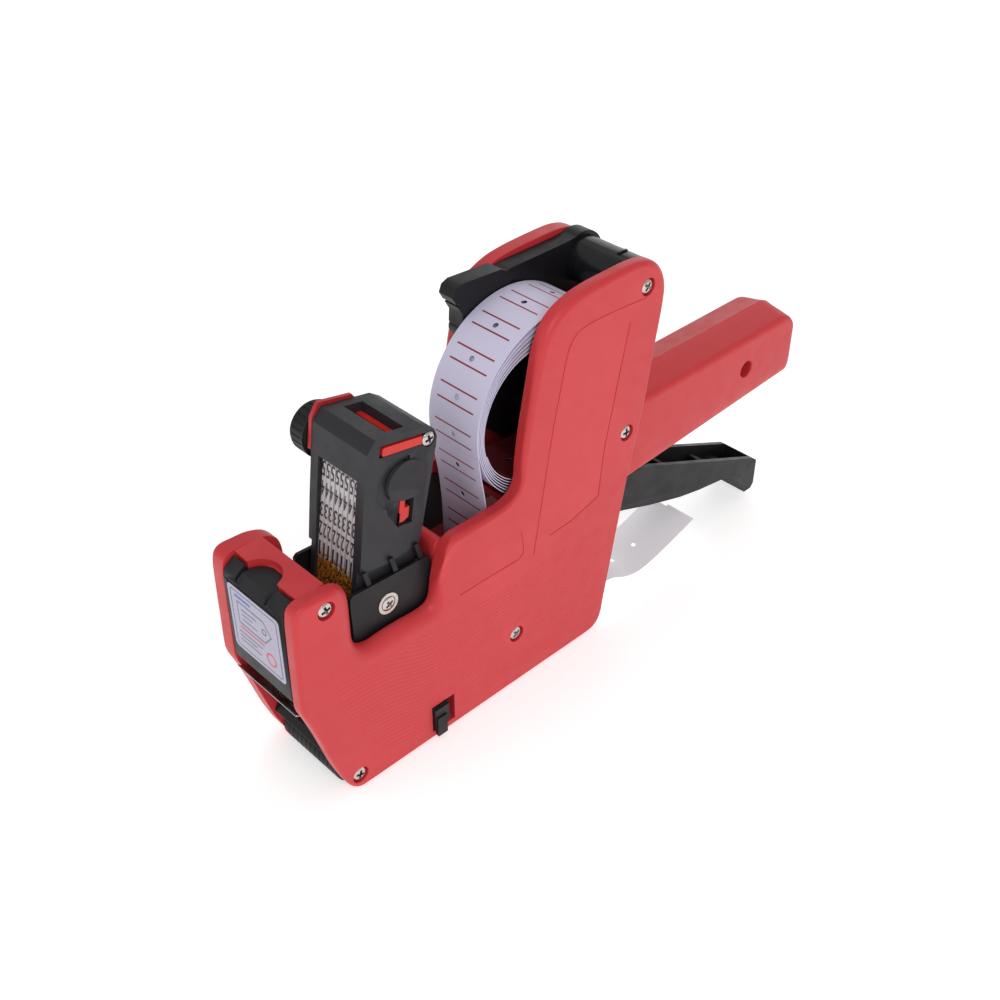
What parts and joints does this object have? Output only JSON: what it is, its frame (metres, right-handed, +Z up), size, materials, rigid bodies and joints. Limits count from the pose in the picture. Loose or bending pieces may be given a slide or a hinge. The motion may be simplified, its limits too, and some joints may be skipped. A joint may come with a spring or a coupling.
{
  "type": "price labeling gun",
  "caption": "Hand-held label gun: red side shells, trigger, swinging print head with number bands, label roll, feed wheel and hinged covers.",
  "frame": {"origin": "middle of the overall length and width, on the plane the gun stands on", "axes": "+X towards the end of the handle, -X the nose; +Y the user's right as they aim it; +Z up"},
  "size_m": [0.236, 0.0412, 0.1382],
  "materials": {
    "red_shell": "satin moulded ABS",
    "black_plastic": "satin moulded",
    "dark_grey_plastic": "satin moulded",
    "bright_red_plastic": "semi-gloss",
    "nickel_screw": "bright nickel",
    "steel": "drawn",
    "bright_steel": "bright",
    "label_paper": "coated",
    "band_rubber": "matte, printed characters",
    "white_plastic": "matte",
    "sticker": "semi-gloss film",
    "ink_felt": "felt soaked with orange ink",
    "roller_rubber": "ribbed"
  },
  "bodies": {
    "gun_frame": {"right_side_shell": "red_shell", "left_side_shell": "red_shell", "mid_wall": "red_shell", "inner_guide": "black_plastic", "roll_cradle": "red_shell", "hinge_tube": "black_plastic", "case_screws": "nickel_screw", "trigger_pin": "steel", "arm_shaft": "steel", "feed_axle": "steel", "guide_axle": "steel", "nose_shaft": "steel", "bottom_hinge_pin": "steel", "platen": "black_plastic", "peel_plate": "bright_steel", "nose_guide": "black_plastic", "label_strip": "label_paper", "liner_tail": "label_paper", "trigger_spring": "steel"},
    "guide_roller": {"guide_roller": "black_plastic"},
    "roll_cover": {"roll_cover": "black_plastic"},
    "label_roll": {"label_roll": "label_paper"},
    "print_arm": {"print_arm": "dark_grey_plastic", "head_case": "dark_grey_plastic", "head_side_cap": "bright_red_plastic", "head_lock_bar": "bright_red_plastic", "head_screws": "nickel_screw", "number_bands": "band_rubber", "band_wheels": "white_plastic", "type_guide": "dark_grey_plastic", "band_spacer": "dark_grey_plastic"},
    "selector_shaft": {"selector_shaft": "steel"},
    "selector_knob": {"selector_knob": "black_plastic"},
    "selector_pointer": {"selector_pointer": "bright_red_plastic"},
    "front_cover": {"front_cover": "black_plastic", "cover_sticker": "sticker", "ink_roller_shaft": "steel"},
    "ink_roller": {"ink_roller": "ink_felt"},
    "bottom_cover": {"bottom_cover": "black_plastic"},
    "bottom_latch": {"bottom_latch": "black_plastic"},
    "trigger": {"trigger": "black_plastic"},
    "drive_link": {"drive_link": "steel"},
    "feed_pawl": {"feed_pawl": "steel"},
    "feed_wheel": {"feed_wheel": "black_plastic"},
    "nose_roller": {"nose_roller": "roller_rubber"}
  },
  "joints": [
    {"name": "trigger_squeeze", "type": "hinge", "parent": "gun_frame", "child": "trigger", "pos_m": [0.011, 0, 0.044], "axis": [0, -1, 0], "range_deg": [0, 18], "stiffness_Nm_per_rad": 1.5, "springref_deg": -17.19, "deforming": ["trigger_spring"]},
    {"name": "print_stroke", "type": "hinge", "parent": "gun_frame", "child": "print_arm", "pos_m": [-0.055, 0, 0.047], "axis": [0, -1, 0], "range_deg": [0, 9]},
    {"name": "link_travel", "type": "slide", "parent": "gun_frame", "child": "drive_link", "axis": [1, 0, 0], "range_m": [0, 0.00285]},
    {"name": "feed_stroke", "type": "hinge", "parent": "gun_frame", "child": "feed_pawl", "pos_m": [-0.047, 0, 0.015], "axis": [0, -1, 0], "range_deg": [0, 72]},
    {"name": "feed_wheel_spin", "type": "hinge", "parent": "gun_frame", "child": "feed_wheel", "pos_m": [-0.047, 0, 0.015], "axis": [0, -1, 0], "continuous": true},
    {"name": "guide_roller_spin", "type": "hinge", "parent": "gun_frame", "child": "guide_roller", "pos_m": [-0.0446, 0, 0.0465], "axis": [0, -1, 0], "continuous": true},
    {"name": "nose_roller_spin", "type": "hinge", "parent": "gun_frame", "child": "nose_roller", "pos_m": [-0.1004, 0, 0.006], "axis": [0, -1, 0], "continuous": true},
    {"name": "label_roll_spin", "type": "hinge", "parent": "gun_frame", "child": "label_roll", "pos_m": [-0.0131, 0, 0.0996], "axis": [0, -1, 0], "continuous": true},
    {"name": "roll_cover_hinge", "type": "hinge", "parent": "gun_frame", "child": "roll_cover", "pos_m": [0.0209, 0, 0.1286], "axis": [0, 1, 0], "range_deg": [0, 100]},
    {"name": "front_cover_hinge", "type": "hinge", "parent": "gun_frame", "child": "front_cover", "pos_m": [-0.1133, 0, 0.0492], "axis": [0, -1, 0], "range_deg": [0, 90]},
    {"name": "ink_roller_spin", "type": "hinge", "parent": "front_cover", "child": "ink_roller", "pos_m": [-0.1018, 0, 0.058], "axis": [0, -1, 0], "continuous": true},
    {"name": "bottom_cover_hinge", "type": "hinge", "parent": "gun_frame", "child": "bottom_cover", "pos_m": [-0.002, 0, 0.0052], "axis": [0, -1, 0], "range_deg": [0, 60]},
    {"name": "bottom_latch_slide", "type": "slide", "parent": "gun_frame", "child": "bottom_latch", "axis": [1, 0, 0], "range_m": [0, 0.0027]},
    {"name": "selector_pull", "type": "slide", "parent": "print_arm", "child": "selector_shaft", "axis": [0, 1, 0], "range_m": [0, 0.0144]},
    {"name": "selector_turn", "type": "hinge", "parent": "selector_shaft", "child": "selector_knob", "pos_m": [-0.07858, 0, 0.1061], "axis": [0, 1, 0], "continuous": true},
    {"name": "pointer_travel", "type": "slide", "parent": "print_arm", "child": "selector_pointer", "axis": [0, 1, 0], "range_m": [0, 0.0144]}
  ],
  "couplings": [
    {"joint": "print_stroke", "follows": "trigger_squeeze", "ratio": 0.5},
    {"joint": "link_travel", "follows": "trigger_squeeze", "m_per_rad": 0.00895},
    {"joint": "feed_stroke", "follows": "trigger_squeeze", "ratio": 4},
    {"joint": "pointer_travel", "follows": "selector_pull", "ratio": 1}
  ]
}
